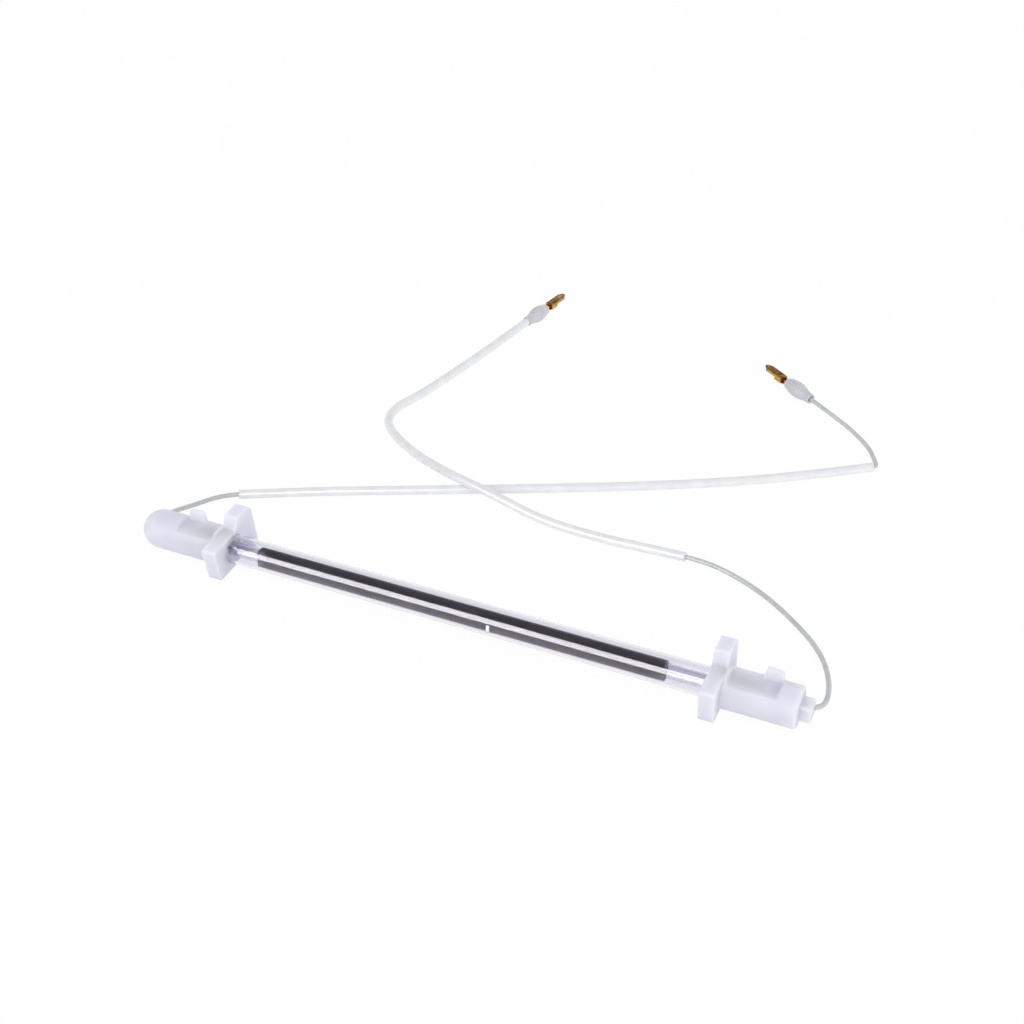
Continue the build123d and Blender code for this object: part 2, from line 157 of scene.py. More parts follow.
soft_box("long_soft_box", (-0.35, -0.79, 0.76), (-0.15, 0.0, 0.0), 1.3, 0.45, 0.9)
soft_box("low_soft_box", (0.85, -0.8, 0.3), (0.0, 0.0, 0.0), 1.2, 0.5, 3.0, mirrored=False)
soft_box("bright_reflector", (-0.42, -1.051, 0.619), (-0.42, 0.0, 0.0), 1.5, 0.85, 32.0, lights=False)

# Heating coil: resistance wire, dark from its first heating, closely wound. It hangs on the inner tube. The
# last turns at each end stand a little open, and the tails run along the tube to the crimps.
AXIS_Y = -0.00185
AXIS_HEIGHT = 0.0091
COIL_START = -0.095025
COIL_END = 0.095075
COIL_TURNS = 234
COIL_WIRE = 0.00079
COIL_MIDDLE_RADIUS = 0.00415
COIL_DROP = 0.00055
COIL_HEIGHT = AXIS_HEIGHT - COIL_DROP
OPEN_GAP = 0.0003
OPEN_TURNS_LEFT = 4.0
OPEN_TURNS_RIGHT = 2.5
TAIL_WIRE = 0.0007
TAIL_TURN = math.radians(44.9)
TAIL_STEPS = 10
TAIL_BEND_START = 0.0095
TAIL_BEND_END = 0.0165
GLASS_FACES = {"left": -0.108625, "right": 0.112275}
CRIMP_MIDDLES = {"left": -0.1338, "right": 0.1391}


def principled(tree, color, roughness, **sockets):
    """The finish's main shader, with its constant sockets, joined to the output."""
    shader = tree.nodes.new("ShaderNodeBsdfPrincipled")
    shader.inputs["Base Color"].default_value = (*color, 1.0)
    shader.inputs["Roughness"].default_value = roughness
    for socket, value in sockets.items():
        shader.inputs[socket.replace("_", " ")].default_value = value
    tree.links.new(shader.outputs[0], tree.nodes["Material Output"].inputs["Surface"])
    return shader


def mottle(tree, scale, detail, stretch=(1.0, 1.0, 1.0)):
    """Soft noise fixed to the piece, about one spot in 1/scale metres."""
    place = tree.nodes.new("ShaderNodeTexCoord")
    mapping = tree.nodes.new("ShaderNodeMapping")
    mapping.inputs["Scale"].default_value = stretch
    noise = tree.nodes.new("ShaderNodeTexNoise")
    noise.inputs["Scale"].default_value = scale
    noise.inputs["Detail"].default_value = detail
    tree.links.new(place.outputs["Object"], mapping.inputs["Vector"])
    tree.links.new(mapping.outputs["Vector"], noise.inputs["Vector"])
    return noise.outputs["Fac"]


def tones(tree, shader, factor, low, dark, high, light):
    """Colour that goes from dark to light as factor goes from low to high."""
    ramp = tree.nodes.new("ShaderNodeValToRGB")
    ramp.color_ramp.elements[0].position = low
    ramp.color_ramp.elements[0].color = (*dark, 1.0)
    ramp.color_ramp.elements[1].position = high
    ramp.color_ramp.elements[1].color = (*light, 1.0)
    tree.links.new(factor, ramp.inputs["Fac"])
    tree.links.new(ramp.outputs["Color"], shader.inputs["Base Color"])


def roughness_range(tree, shader, factor, smooth, rough):
    """Roughness from smooth to rough as factor goes from 0 to 1."""
    span = tree.nodes.new("ShaderNodeMapRange")
    span.inputs["To Min"].default_value = smooth
    span.inputs["To Max"].default_value = rough
    tree.links.new(factor, span.inputs["Value"])
    tree.links.new(span.outputs["Result"], shader.inputs["Roughness"])


def relief(tree, shader, height, distance, strength):
    """A bump of that height in metres from the texture height."""
    bump = tree.nodes.new("ShaderNodeBump")
    bump.inputs["Distance"].default_value = distance
    bump.inputs["Strength"].default_value = strength
    tree.links.new(height, bump.inputs["Height"])
    tree.links.new(bump.outputs["Normal"], shader.inputs["Normal"])


def whole_object(name, data):
    """A finished piece of the one body, at the origin, with its place in its mesh."""
    piece = bpy.data.objects.new(name, data)
    scene.collection.objects.link(piece)
    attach(piece, "root")
    return piece


def on_coil(x, turn=TAIL_TURN):
    """The point at x in the middle of the coil's wire, turned up from the front by turn."""
    out = COIL_MIDDLE_RADIUS
    return Vector((x, AXIS_Y - out * math.cos(turn), COIL_HEIGHT + out * math.sin(turn)))


def spline_data(name, route, steps=24):
    """A smooth open spline with the route's points as its control points, and no thickness yet."""
    data = bpy.data.curves.new(name, "CURVE")
    data.dimensions = "3D"
    data.resolution_u = steps
    spline = data.splines.new("NURBS")
    spline.points.add(len(route) - 1)
    for point, place in zip(spline.points, route):
        point.co = (*place, 1.0)
    spline.order_u = 3
    spline.use_endpoint_u = True
    return data


def evaluated_mesh(data):
    """A plain mesh of a curve, or of an object's live modifiers."""
    holder = data
    if not isinstance(data, bpy.types.Object):
        holder = bpy.data.objects.new("holder", data)
        scene.collection.objects.link(holder)
    mesh = bpy.data.meshes.new_from_object(holder.evaluated_get(bpy.context.evaluated_depsgraph_get()))
    bpy.data.objects.remove(holder)
    return mesh


coil_material, coil_tree = new_material("resistance_wire")
coil_shader = principled(coil_tree, (0.17, 0.155, 0.165), 0.3, Metallic=1.0)
coil_noise = mottle(coil_tree, 260.0, 3.0, (0.25, 1.0, 1.0))
tones(coil_tree, coil_shader, coil_noise, 0.3, (0.13, 0.115, 0.125), 0.7, (0.20, 0.185, 0.195))
roughness_range(coil_tree, coil_shader, coil_noise, 0.14, 0.26)

winding_tree = bpy.data.node_groups.new("close_winding", "GeometryNodeTree")
winding_ports = {}
for label, kind in (
    ("Turns", "NodeSocketInt"), ("Pitch", "NodeSocketFloat"), ("Open Gap", "NodeSocketFloat"),
    ("Open Turns Left", "NodeSocketFloat"), ("Open Turns Right", "NodeSocketFloat"),
    ("Radius", "NodeSocketFloat"), ("Wire Radius", "NodeSocketFloat"),
    ("First Turn Angle", "NodeSocketFloat"), ("Steps A Turn", "NodeSocketInt"),
    ("Wire Sides", "NodeSocketInt"), ("Start", "NodeSocketVector"), ("Material", "NodeSocketMaterial"),
):
    winding_port = winding_tree.interface.new_socket(label, in_out="INPUT", socket_type=kind)
    winding_ports[label] = winding_port.identifier
winding_tree.interface.new_socket("Geometry", in_out="OUTPUT", socket_type="NodeSocketGeometry")
winding_in = winding_tree.nodes.new("NodeGroupInput")
winding_out = winding_tree.nodes.new("NodeGroupOutput")
winding_line = winding_tree.nodes.new("GeometryNodeCurvePrimitiveLine")
winding_steps = winding_tree.nodes.new("GeometryNodeResampleCurve")
step_count = math_node(
    winding_tree, "MULTIPLY", winding_in.outputs["Turns"], winding_in.outputs["Steps A Turn"]
)
winding_tree.links.new(winding_line.outputs[0], winding_steps.inputs["Curve"])
winding_tree.links.new(math_node(winding_tree, "ADD", step_count, 1.0), winding_steps.inputs["Count"])
winding_factor = winding_tree.nodes.new("GeometryNodeSplineParameter")
turn_number = math_node(
    winding_tree, "MULTIPLY", winding_factor.outputs["Factor"], winding_in.outputs["Turns"]
)
open_left = math_node(winding_tree, "MINIMUM", turn_number, winding_in.outputs["Open Turns Left"])
last_close = math_node(
    winding_tree, "SUBTRACT", winding_in.outputs["Turns"], winding_in.outputs["Open Turns Right"]
)
past_close = math_node(winding_tree, "SUBTRACT", turn_number, last_close)
open_right = math_node(winding_tree, "MAXIMUM", past_close, 0.0)
open_turns = math_node(winding_tree, "ADD", open_left, open_right)
open_length = math_node(winding_tree, "MULTIPLY", open_turns, winding_in.outputs["Open Gap"])
close_length = math_node(winding_tree, "MULTIPLY", turn_number, winding_in.outputs["Pitch"])
along = math_node(winding_tree, "ADD", close_length, open_length)
turned = math_node(winding_tree, "MULTIPLY", turn_number, 2 * math.pi)
angle = math_node(winding_tree, "SUBTRACT", winding_in.outputs["First Turn Angle"], turned)
cosine = math_node(winding_tree, "COSINE", angle)
sine = math_node(winding_tree, "SINE", angle)
across_y = math_node(winding_tree, "MULTIPLY", cosine, winding_in.outputs["Radius"])
across_z = math_node(winding_tree, "MULTIPLY", sine, winding_in.outputs["Radius"])
turn_place = winding_tree.nodes.new("ShaderNodeCombineXYZ")
winding_tree.links.new(along, turn_place.inputs[0])
winding_tree.links.new(across_y, turn_place.inputs[1])
winding_tree.links.new(across_z, turn_place.inputs[2])
turn_move = winding_tree.nodes.new("ShaderNodeVectorMath")
winding_tree.links.new(turn_place.outputs[0], turn_move.inputs[0])
winding_tree.links.new(winding_in.outputs["Start"], turn_move.inputs[1])
winding_set = winding_tree.nodes.new("GeometryNodeSetPosition")
winding_tree.links.new(winding_steps.outputs[0], winding_set.inputs["Geometry"])
winding_tree.links.new(turn_move.outputs[0], winding_set.inputs["Position"])
wire_circle = winding_tree.nodes.new("GeometryNodeCurvePrimitiveCircle")
winding_tree.links.new(winding_in.outputs["Wire Sides"], wire_circle.inputs["Resolution"])
winding_tree.links.new(winding_in.outputs["Wire Radius"], wire_circle.inputs["Radius"])
winding_skin = winding_tree.nodes.new("GeometryNodeCurveToMesh")
winding_skin.inputs["Fill Caps"].default_value = True
winding_tree.links.new(winding_set.outputs[0], winding_skin.inputs["Curve"])
winding_tree.links.new(wire_circle.outputs[0], winding_skin.inputs["Profile Curve"])
winding_real = winding_tree.nodes.new("GeometryNodeRealizeInstances")
winding_finish = winding_tree.nodes.new("GeometryNodeSetMaterial")
winding_tree.links.new(winding_skin.outputs[0], winding_real.inputs[0])
winding_tree.links.new(winding_real.outputs[0], winding_finish.inputs["Geometry"])
winding_tree.links.new(winding_in.outputs["Material"], winding_finish.inputs["Material"])
winding_tree.links.new(winding_finish.outputs[0], winding_out.inputs[0])

open_extra = OPEN_GAP * (OPEN_TURNS_LEFT + OPEN_TURNS_RIGHT)
winding_values = {
    "Turns": COIL_TURNS,
    "Pitch": (COIL_END - COIL_START - COIL_WIRE - open_extra) / COIL_TURNS,
    "Open Gap": OPEN_GAP,
    "Open Turns Left": OPEN_TURNS_LEFT,
    "Open Turns Right": OPEN_TURNS_RIGHT,
    "Radius": COIL_MIDDLE_RADIUS,
    "Wire Radius": COIL_WIRE / 2,
    "First Turn Angle": math.pi - TAIL_TURN,
    "Steps A Turn": 32,
    "Wire Sides": 7,
    "Start": (COIL_START + COIL_WIRE / 2, AXIS_Y, COIL_HEIGHT),
    "Material": coil_material,
}
winding_holder = bpy.data.objects.new("winding_holder", bpy.data.meshes.new("winding_holder"))
scene.collection.objects.link(winding_holder)
winding_modifier = winding_holder.modifiers.new("winding", "NODES")
winding_modifier.node_group = winding_tree
for label, value in winding_values.items():
    winding_modifier[winding_ports[label]] = value
coil_mesh = evaluated_mesh(winding_holder)
coil_work = bmesh.new()
coil_work.from_mesh(coil_mesh)
bpy.data.meshes.remove(coil_mesh)
for side, coil_x, way in (("left", COIL_START, -1), ("right", COIL_END, 1)):
    face_x = GLASS_FACES[side]
    crimp_x = CRIMP_MIDDLES[side]
    first_x = coil_x - way * COIL_WIRE / 2
    # From inside the last turn, over the end of the winding, along the inner tube and down to the crimp
    tail_route = [
        on_coil(first_x - way * 0.00005, TAIL_TURN - way * 0.5), on_coil(first_x, TAIL_TURN - way * 0.12),
        on_coil(first_x + way * 0.0006), on_coil(first_x + way * 0.0022),
        on_coil(face_x + way * 0.0070), on_coil(face_x + way * TAIL_BEND_START),
        (face_x + way * TAIL_BEND_END, AXIS_Y, AXIS_HEIGHT),
        (crimp_x - way * 0.0015, AXIS_Y, AXIS_HEIGHT), (crimp_x, AXIS_Y, AXIS_HEIGHT),
    ]
    tail_data = spline_data(f"{side}_tail", tail_route, TAIL_STEPS)
    tail_data.bevel_depth = TAIL_WIRE / 2
    tail_data.bevel_resolution = 2
    tail_data.use_fill_caps = True
    tail_mesh = evaluated_mesh(tail_data)
    coil_work.from_mesh(tail_mesh)
    bpy.data.meshes.remove(tail_mesh)
for face in coil_work.faces:
    face.smooth = True
    face.material_index = 0
bmesh.ops.recalc_face_normals(coil_work, faces=coil_work.faces)
coil_data = bpy.data.meshes.new("heating_coil")
coil_work.to_mesh(coil_data)
coil_work.free()
coil_data.materials.append(coil_material)
heating_coil = whole_object("wound_coil", coil_data)
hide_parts("heating_coil")

# Coil saddle: a small open ring of off-white ceramic that is clipped on the coil right of its middle and
# keeps it off the outer glass.
saddle_material, saddle_tree = new_material("saddle_ceramic")
saddle_shader = principled(saddle_tree, (0.80, 0.79, 0.77), 0.55)
saddle_noise = mottle(saddle_tree, 900.0, 4.0)
tones(saddle_tree, saddle_shader, saddle_noise, 0.3, (0.70, 0.69, 0.67), 0.7, (0.86, 0.85, 0.83))
relief(saddle_tree, saddle_shader, saddle_noise, 0.00003, 0.4)


def finish_node(name, material):
    """Gives a CAD node that is shown as it is the finish of the real piece."""
    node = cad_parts[name]
    for place in node.material_slots:
        place.material = material


finish_node("coil_saddle", saddle_material)

# Inner glass tube, clear and fire-polished at its ends. It carries the coil, and a soft bush at each end
# holds it in the middle of the outer tube.
INNER_TUBE_RADIUS = 0.00315
INNER_TUBE_BORE = 0.00205
GLASS_SIDES = 128
GLASS_POLISH = 0.0003
GLASS_CORNER = 0.29 * GLASS_POLISH
GLASS_EVEN = 0.0012
GLASS_INSERT = 0.0078
GLASS_START = GLASS_FACES["left"] - GLASS_INSERT
GLASS_END = GLASS_FACES["right"] + GLASS_INSERT


def light_through(tree, shader, color, share):
    """Lets a share of the lamps' light through the finish to what is inside."""
    path = tree.nodes.new("ShaderNodeLightPath")
    part = math_node(tree, "MULTIPLY", path.outputs["Is Shadow Ray"], share)
    clear = tree.nodes.new("ShaderNodeBsdfTransparent")
    clear.inputs["Color"].default_value = (*color, 1.0)
    mix = tree.nodes.new("ShaderNodeMixShader")
    tree.links.new(part, mix.inputs["Fac"])
    tree.links.new(shader.outputs[0], mix.inputs[1])
    tree.links.new(clear.outputs[0], mix.inputs[2])
    tree.links.new(mix.outputs[0], tree.nodes["Material Output"].inputs["Surface"])


def glass_finish(name, color):
    """Clear glass, its surface a little uneven."""
    material, tree = new_material(name)
    shader = principled(tree, color, 0.02, IOR=1.47, Transmission_Weight=1.0)
    roughness_range(tree, shader, mottle(tree, 40.0, 2.0), 0.0, 0.05)
    light_through(tree, shader, color, 1.0)
    return material


def turned_mesh(name, origin, way, up, outline, sides):
    """A closed outline of (distance along, radius) pairs, turned about the line from origin along way."""
    side = way.cross(up).normalized()
    work = bmesh.new()
    rings = []
    for distance, radius in outline:
        ring = []
        for step in range(sides):
            turn = 2 * math.pi * step / sides
            out = side * math.cos(turn) + up * math.sin(turn)
            ring.append(work.verts.new(origin + way * distance + out * radius))
        rings.append(ring)
    for ring, after in zip(rings, rings[1:] + rings[:1]):
        for step in range(sides):
            follow = (step + 1) % sides
            face = work.faces.new((ring[step], ring[follow], after[follow], after[step]))
            face.smooth = True
    bmesh.ops.recalc_face_normals(work, faces=work.faces)
    mesh = bpy.data.meshes.new(name)
    work.to_mesh(mesh)
    work.free()
    return mesh


def glass_tube(name, outer, inner, material):
    """A glass tube between the two caps with softly rounded ends, and even faces between them."""
    length = GLASS_END - GLASS_START
    soft = GLASS_CORNER
    outline = [
        (GLASS_POLISH, outer), (GLASS_EVEN, outer),
        (length - GLASS_EVEN, outer), (length - GLASS_POLISH, outer),
        (length - soft, outer - soft), (length, outer - GLASS_POLISH), (length, inner + GLASS_POLISH),
        (length - soft, inner + soft), (length - GLASS_POLISH, inner), (length - GLASS_EVEN, inner),
        (GLASS_EVEN, inner), (GLASS_POLISH, inner), (soft, inner + soft), (0.0, inner + GLASS_POLISH),
        (0.0, outer - GLASS_POLISH), (soft, outer - soft),
    ]
    origin = Vector((GLASS_START, AXIS_Y, AXIS_HEIGHT))
    mesh = turned_mesh(name, origin, Vector((1, 0, 0)), Vector((0, 0, 1)), outline, GLASS_SIDES)
    mesh.materials.append(material)
    return whole_object(name, mesh)


inner_finish = glass_finish("inner_glass", (0.81, 0.80, 0.86))
inner_glass = glass_tube("inner_tube", INNER_TUBE_RADIUS, INNER_TUBE_BORE, inner_finish)
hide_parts("inner_glass_tube")

# Tube bushes: soft silicone rings that centre the inner tube in the outer one, inside the plates. Each
# has a slot for a tail of the coil.
bush_material, bush_tree = new_material("bush_silicone")
bush_shader = principled(
    bush_tree, (0.92, 0.92, 0.94), 0.45,
    Subsurface_Weight=1.0, Subsurface_Radius=(1.0, 1.0, 1.0), Subsurface_Scale=0.006,
)
bush_noise = mottle(bush_tree, 300.0, 3.0)
tones(bush_tree, bush_shader, bush_noise, 0.3, (0.90, 0.90, 0.92), 0.7, (0.95, 0.95, 0.96))
light_through(bush_tree, bush_shader, (0.97, 0.97, 0.98), 0.9)
for side in ("left", "right"):
    finish_node(f"{side}_tube_bush", bush_material)

# Outer glass tube, clear and fire-polished at its ends. It is pushed into both caps and held by their
# grip.
OUTER_TUBE_RADIUS = 0.0065
OUTER_TUBE_BORE = 0.0055

outer_finish = glass_finish("outer_glass", (0.885, 0.88, 0.93))
outer_glass = glass_tube("outer_tube", OUTER_TUBE_RADIUS, OUTER_TUBE_BORE, outer_finish)
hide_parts("outer_glass_tube")

# Left and right lead wires: silicone-covered stranded wire, pale grey. Each leaves its cap, runs
# behind the tube through its sleeve, and ends in the barrel of its terminal.
SLEEVE_HEIGHT = 0.00225
WIRE_HEIGHT = 0.0012
OVER_HEIGHT = 0.0069
BOOT_HEIGHT = 0.0044
WIRE_DIAMETER = 0.0022
LEFT_ROUTE = [
    (-0.1378, AXIS_Y, AXIS_HEIGHT), (-0.1524, AXIS_Y, AXIS_HEIGHT), (-0.1528, 0.0130, 0.0066),
    (-0.1514, 0.0269, WIRE_HEIGHT), (-0.1418, 0.0389, SLEEVE_HEIGHT), (-0.1270, 0.0466, SLEEVE_HEIGHT),
    (-0.0975, 0.0615, SLEEVE_HEIGHT), (-0.0535, 0.0815, SLEEVE_HEIGHT), (-0.0035, 0.1044, SLEEVE_HEIGHT),
    (0.0480, 0.1292, SLEEVE_HEIGHT), (0.0865, 0.1503, SLEEVE_HEIGHT), (0.1130, 0.1674, SLEEVE_HEIGHT),
    (0.1280, 0.1778, SLEEVE_HEIGHT), (0.1362, 0.1836, SLEEVE_HEIGHT), (0.1404, 0.1866, SLEEVE_HEIGHT),
    (0.1377, 0.1926, 0.0018), (0.1332, 0.2026, WIRE_HEIGHT), (0.1209, 0.2160, WIRE_HEIGHT),
    (0.1031, 0.2256, BOOT_HEIGHT), (0.0895, 0.2358, BOOT_HEIGHT),
]
RIGHT_ROUTE = [
    (0.1431, AXIS_Y, AXIS_HEIGHT), (0.1578, AXIS_Y, AXIS_HEIGHT), (0.1581, 0.0172, 0.0052),
    (0.1488, 0.0420, WIRE_HEIGHT), (0.1308, 0.0592, WIRE_HEIGHT), (0.1122, 0.0725, WIRE_HEIGHT),
    (0.0885, 0.0810, SLEEVE_HEIGHT), (0.0650, 0.0802, SLEEVE_HEIGHT), (0.0350, 0.0785, SLEEVE_HEIGHT),
    (0.0055, 0.0806, SLEEVE_HEIGHT), (-0.0235, 0.0856, OVER_HEIGHT), (-0.0535, 0.0938, OVER_HEIGHT),
    (-0.0790, 0.1102, SLEEVE_HEIGHT), (-0.0986, 0.1252, SLEEVE_HEIGHT), (-0.1014, 0.1406, SLEEVE_HEIGHT),
    (-0.0948, 0.1570, SLEEVE_HEIGHT), (-0.0870, 0.1885, SLEEVE_HEIGHT), (-0.0809, 0.2155, SLEEVE_HEIGHT),
    (-0.0741, 0.2395, BOOT_HEIGHT), (-0.0705, 0.2561, BOOT_HEIGHT),
]
lead_routes = {"left": LEFT_ROUTE, "right": RIGHT_ROUTE}

wire_material, wire_tree = new_material("lead_insulation")
wire_shader = principled(wire_tree, (0.50, 0.50, 0.51), 0.38)
wire_noise = mottle(wire_tree, 220.0, 4.0)
tones(wire_tree, wire_shader, wire_noise, 0.3, (0.50, 0.50, 0.51), 0.7, (0.59, 0.59, 0.60))
roughness_range(wire_tree, wire_shader, wire_noise, 0.3, 0.45)
relief(wire_tree, wire_shader, wire_noise, 0.00002, 0.3)

lead_lines = {}
for side, route in lead_routes.items():
    line_mesh = evaluated_mesh(spline_data("lead_line", route))
    lead_lines[side] = [vertex.co.copy() for vertex in line_mesh.vertices]
    bpy.data.meshes.remove(line_mesh)
    wire_data = spline_data(f"{side}_wire", route)
    wire_data.bevel_depth = WIRE_DIAMETER / 2
    wire_data.bevel_resolution = 6
    wire_data.use_fill_caps = True
    wire_data.materials.append(wire_material)
    whole_object(f"{side}_wire", wire_data)
    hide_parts(f"{side}_lead_wire")

# Bare cores of the leads: tinned copper strands, cut short. One end of each lead is pressed into a crimp
# sleeve and the other into its terminal.
core_material, core_tree = new_material("tinned_copper")
core_shader = principled(core_tree, (0.62, 0.58, 0.54), 0.35, Metallic=1.0)
core_noise = mottle(core_tree, 1500.0, 2.0)
tones(core_tree, core_shader, core_noise, 0.3, (0.50, 0.42, 0.36), 0.7, (0.70, 0.68, 0.66))
for side in ("left", "right"):
    finish_node(f"{side}_core_at_coil", core_material)
    finish_node(f"{side}_core_at_terminal", core_material)

# Crimp sleeves: short plain steel tubes, one inside each cap, pressed on a tail of the coil and the core of
# a lead.
crimp_material, crimp_tree = new_material("crimp_steel")
crimp_shader = principled(crimp_tree, (0.50, 0.50, 0.52), 0.4, Metallic=1.0)
crimp_noise = mottle(crimp_tree, 700.0, 3.0)
tones(crimp_tree, crimp_shader, crimp_noise, 0.3, (0.42, 0.42, 0.44), 0.7, (0.58, 0.58, 0.60))
for side in ("left", "right"):
    finish_node(f"{side}_crimp_sleeve", crimp_material)

# End caps: translucent silicone, moulded in one piece each, with soft edges and a faint cloudiness. They
# are pushed over the glass and the crimps, and each lead leaves through a hole that grips it.
SAME_POINT = 1e-6
CAP_VOXEL = 0.0003
CAP_EDGE_SOFTNESS = 0.5
CAP_EDGE_PASSES = 6

cap_material, cap_tree = new_material("cap_silicone")
cap_shader = principled(
    cap_tree, (0.65, 0.65, 0.72), 0.55, IOR=1.41, Specular_IOR_Level=0.35,
    Subsurface_Weight=1.0, Subsurface_Radius=(1.0, 1.0, 1.15), Subsurface_Scale=0.012,
)
cap_cloud = mottle(cap_tree, 70.0, 3.0)
tones(cap_tree, cap_shader, cap_cloud, 0.3, (0.62, 0.62, 0.69), 0.7, (0.68, 0.68, 0.75))
cap_grain = mottle(cap_tree, 900.0, 4.0)
roughness_range(cap_tree, cap_shader, cap_grain, 0.48, 0.62)
relief(cap_tree, cap_shader, cap_grain, 0.00002, 0.25)
light_through(cap_tree, cap_shader, (0.94, 0.94, 0.97), 0.85)

for side in ("left", "right"):
    cap_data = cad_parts[f"{side}_end_cap"].data.copy()
    cap_work = bmesh.new()
    cap_work.from_mesh(cap_data)
    bmesh.ops.remove_doubles(cap_work, verts=cap_work.verts, dist=SAME_POINT)
    cap_work.to_mesh(cap_data)
    cap_work.free()
    cap_holder = bpy.data.objects.new("cap_holder", cap_data)
    scene.collection.objects.link(cap_holder)
    cap_skin = cap_holder.modifiers.new("one_skin", "REMESH")
    cap_skin.mode = "VOXEL"
    cap_skin.voxel_size = CAP_VOXEL
    cap_skin.use_smooth_shade = True
    cap_soft = cap_holder.modifiers.new("moulded_edges", "SMOOTH")
    cap_soft.factor = CAP_EDGE_SOFTNESS
    cap_soft.iterations = CAP_EDGE_PASSES
    cap_mesh = evaluated_mesh(cap_holder)
    cap_mesh.materials.clear()
    cap_mesh.materials.append(cap_material)
    cap_piece = whole_object(f"{side}_cap", cap_mesh)
    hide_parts(f"{side}_end_cap")

# Lead sleeves: glass-fibre braid, varnished white, slipped over each wire. Both are cut square, and
# the right one reaches into its boot. Each follows its wire's own line.
SLEEVE_RADIUS = 0.0022
SLEEVE_BORE = 0.00135
SLEEVE_SIDES = 36
SLEEVE_END_IN_BOOT = (-0.07156, 0.25121, BOOT_HEIGHT)
BRAID_STRANDS = 8
BRAID_PITCH = 0.0016


def frames_along(points):
    """A point, and two directions square to the line, at each point of a line."""
    places = []
    ways = [(b - a).normalized() for a, b in zip(points, points[1:])]
    ways.append(ways[-1])
    side = ways[0].cross(Vector((0, 0, 1))).normalized()
    for point, way in zip(points, ways):
        side = (side - way * side.dot(way)).normalized()
        places.append((point, side, way.cross(side)))
    return places


def sleeve_mesh(name, points, outer, inner, sides):
    """A tube with a wall around a line, with a map of turn and distance along it."""
    places = frames_along(points)
    rings_at = [(place, outer) for place in places] + [(place, inner) for place in places[::-1]]
    travelled = [0.0]
    for a, b in zip(points, points[1:]):
        travelled.append(travelled[-1] + (b - a).length)
    travelled = travelled + travelled[::-1]
    work = bmesh.new()
    layer = work.loops.layers.uv.new("along")
    rings = []
    for (point, side, up), radius in rings_at:
        ring = []
        for step in range(sides):
            turn = 2 * math.pi * step / sides
            ring.append(work.verts.new(point + radius * (side * math.cos(turn) + up * math.sin(turn))))
        rings.append(ring)
    for number, ring in enumerate(rings):
        following = (number + 1) % len(rings)
        for step in range(sides):
            after = (step + 1) % sides
            face = work.faces.new((ring[step], ring[after], rings[following][after], rings[following][step]))
            face.smooth = number not in (len(places) - 1, len(rings) - 1)
            corners = ((step, number), (step + 1, number), (step + 1, following), (step, following))
            for loop, (turn, place) in zip(face.loops, corners):
                loop[layer].uv = (turn / sides, travelled[place])
    bmesh.ops.recalc_face_normals(work, faces=work.faces)
    mesh = bpy.data.meshes.new(name)
    work.to_mesh(mesh)
    work.free()
    return mesh


def nearest(points, place):
    """The number of the line's point nearest to a place."""
    return min(range(len(points)), key=lambda i: (points[i] - Vector(place)).length)


def halfway(a, b):
    """The point in the middle between two."""
    return tuple((p + q) / 2 for p, q in zip(a, b))


sleeve_material, sleeve_tree = new_material("sleeve_fibre")
sleeve_shader = principled(sleeve_tree, (0.84, 0.84, 0.85), 0.34, Coat_Weight=0.5, Coat_Roughness=0.15)
sleeve_map = sleeve_tree.nodes.new("ShaderNodeUVMap")
sleeve_map.uv_map = "along"
sleeve_axes = sleeve_tree.nodes.new("ShaderNodeSeparateXYZ")
sleeve_tree.links.new(sleeve_map.outputs["UV"], sleeve_axes.inputs[0])
strands_around = math_node(sleeve_tree, "MULTIPLY", sleeve_axes.outputs["X"], 2 * math.pi * BRAID_STRANDS)
strands_along = math_node(sleeve_tree, "MULTIPLY", sleeve_axes.outputs["Y"], 2 * math.pi / BRAID_PITCH)
strand_right = math_node(sleeve_tree, "SINE", math_node(sleeve_tree, "ADD", strands_around, strands_along))
strand_left = math_node(
    sleeve_tree, "SINE", math_node(sleeve_tree, "SUBTRACT", strands_around, strands_along)
)
braid = math_node(sleeve_tree, "MAXIMUM", strand_right, strand_left)
sleeve_noise = mottle(sleeve_tree, 160.0, 4.0)
tones(sleeve_tree, sleeve_shader, sleeve_noise, 0.3, (0.77, 0.77, 0.78), 0.7, (0.85, 0.85, 0.86))
relief(sleeve_tree, sleeve_shader, braid, 0.00003, 0.35)

sleeve_spans = {
    "left": (halfway(LEFT_ROUTE[4], LEFT_ROUTE[5]), halfway(LEFT_ROUTE[13], LEFT_ROUTE[14])),
    "right": (halfway(RIGHT_ROUTE[6], RIGHT_ROUTE[7]), SLEEVE_END_IN_BOOT),
}
for side, (start, end) in sleeve_spans.items():
    line = lead_lines[side]
    covered = line[nearest(line, start):nearest(line, end) + 1]
    sleeve_data = sleeve_mesh(f"{side}_sleeve", covered, SLEEVE_RADIUS, SLEEVE_BORE, SLEEVE_SIDES)
    sleeve_data.materials.append(sleeve_material)
    whole_object(f"{side}_sleeve", sleeve_data)
    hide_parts(f"{side}_lead_sleeve")

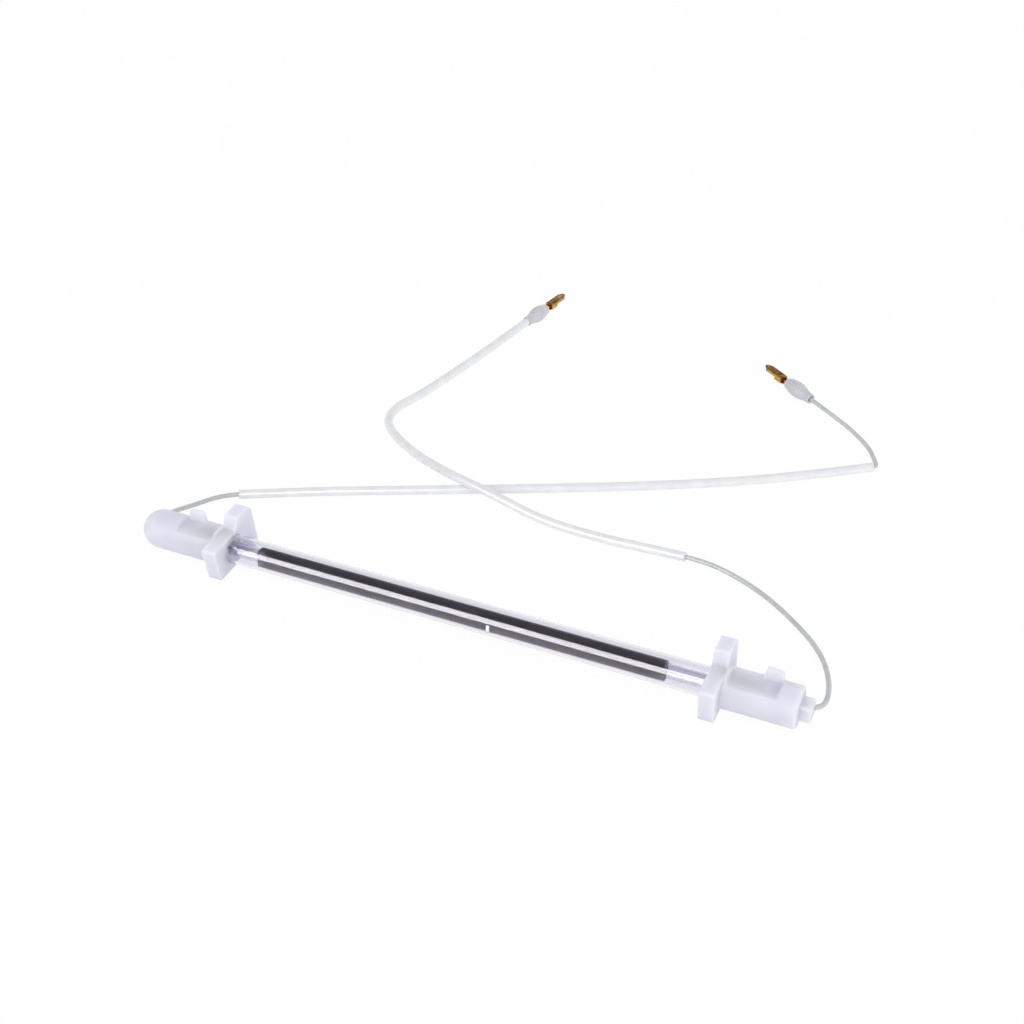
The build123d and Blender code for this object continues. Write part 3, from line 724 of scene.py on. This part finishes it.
# Terminal boots: translucent silicone bulbs, slid over the crimped barrels. A thick collar closes on the
# wire or its sleeve, and the mouth lets the terminal out.
BOOT_LENGTH = 0.019
BOOT_LEAD_IN = 0.008
BOOT_SIDES = 32
BOOT_SHAPE = [
    (0.0, 0.00245), (0.0003, 0.00265), (0.0012, 0.00270), (0.0022, 0.00262), (0.0038, 0.00275),
    (0.0058, 0.00325), (0.0080, 0.00388), (0.0100, 0.00417), (0.0114, 0.00420), (0.0132, 0.00408),
    (0.0155, 0.00362), (0.0178, 0.00308), (0.0188, 0.00284), (BOOT_LENGTH, 0.00262),
]
BOOT_HOLLOW = [
    (BOOT_LENGTH, 0.00232), (0.0178, 0.00245), (0.0150, 0.00290), (0.0114, 0.00335), (0.0080, 0.00290),
]
BOOT_COLLARS = {
    "left": [(0.0042, 0.00125), (0.0, 0.00118)],
    "right": [(0.0034, 0.00240), (0.0, 0.00228)],
}
BOOT_SMOOTHING = 2

boot_material, boot_tree = new_material("boot_silicone")
boot_shader = principled(
    boot_tree, (0.58, 0.58, 0.62), 0.42, IOR=1.41,
    Subsurface_Weight=0.5, Subsurface_Radius=(1.0, 1.0, 1.1), Subsurface_Scale=0.0012,
)
boot_noise = mottle(boot_tree, 120.0, 2.0)
tones(boot_tree, boot_shader, boot_noise, 0.3, (0.55, 0.55, 0.58), 0.7, (0.62, 0.62, 0.65))
relief(boot_tree, boot_shader, boot_noise, 0.00003, 0.15)

for side, route in lead_routes.items():
    boot_way = (Vector(route[-1]) - Vector(route[-2])).normalized()
    boot_start = Vector(route[-1]) - boot_way * BOOT_LEAD_IN
    boot_outline = BOOT_SHAPE + BOOT_HOLLOW + BOOT_COLLARS[side]
    boot_mesh = turned_mesh("boot", boot_start, boot_way, Vector((0, 0, 1)), boot_outline, BOOT_SIDES)
    boot_holder = bpy.data.objects.new("boot_holder", boot_mesh)
    scene.collection.objects.link(boot_holder)
    boot_smooth = boot_holder.modifiers.new("smooth", "SUBSURF")
    boot_smooth.levels = BOOT_SMOOTHING
    boot_smooth.render_levels = BOOT_SMOOTHING
    boot_data = evaluated_mesh(boot_holder)
    boot_data.materials.append(boot_material)
    whole_object(f"{side}_boot", boot_data)
    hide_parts(f"{side}_terminal_boot")

# Terminals: brass strip, stamped and folded, with the press's soft edges. Its barrel is rolled around the
# bare core inside the boot.
BRASS_EDGE = 0.00008
FLAT_ANGLE = math.radians(1.0)
FOLD_ANGLE = math.radians(40.0)

brass_material, brass_tree = new_material("terminal_brass")
brass_shader = principled(brass_tree, (0.72, 0.44, 0.13), 0.3, Metallic=1.0)
brass_noise = mottle(brass_tree, 500.0, 4.0)
tones(brass_tree, brass_shader, brass_noise, 0.3, (0.34, 0.14, 0.03), 0.65, (0.72, 0.42, 0.11))
roughness_range(brass_tree, brass_shader, brass_noise, 0.4, 0.25)
relief(brass_tree, brass_shader, brass_noise, 0.00002, 0.3)

for side in ("left", "right"):
    terminal_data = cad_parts[f"{side}_terminal"].data.copy()
    terminal_work = bmesh.new()
    terminal_work.from_mesh(terminal_data)
    bmesh.ops.remove_doubles(terminal_work, verts=terminal_work.verts, dist=SAME_POINT)
    bmesh.ops.dissolve_limit(
        terminal_work, angle_limit=FLAT_ANGLE, verts=terminal_work.verts, edges=terminal_work.edges
    )
    for face in terminal_work.faces:
        face.smooth = True
    terminal_work.to_mesh(terminal_data)
    terminal_work.free()
    terminal_holder = bpy.data.objects.new("terminal_holder", terminal_data)
    scene.collection.objects.link(terminal_holder)
    terminal_edge = terminal_holder.modifiers.new("pressed_edges", "BEVEL")
    terminal_edge.width = BRASS_EDGE
    terminal_edge.segments = 2
    terminal_edge.limit_method = "ANGLE"
    terminal_edge.angle_limit = FOLD_ANGLE
    terminal_edge.harden_normals = True
    terminal_mesh = evaluated_mesh(terminal_holder)
    terminal_mesh.materials.clear()
    terminal_mesh.materials.append(brass_material)
    whole_object(f"{side}_brass_terminal", terminal_mesh)
    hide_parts(f"{side}_terminal")
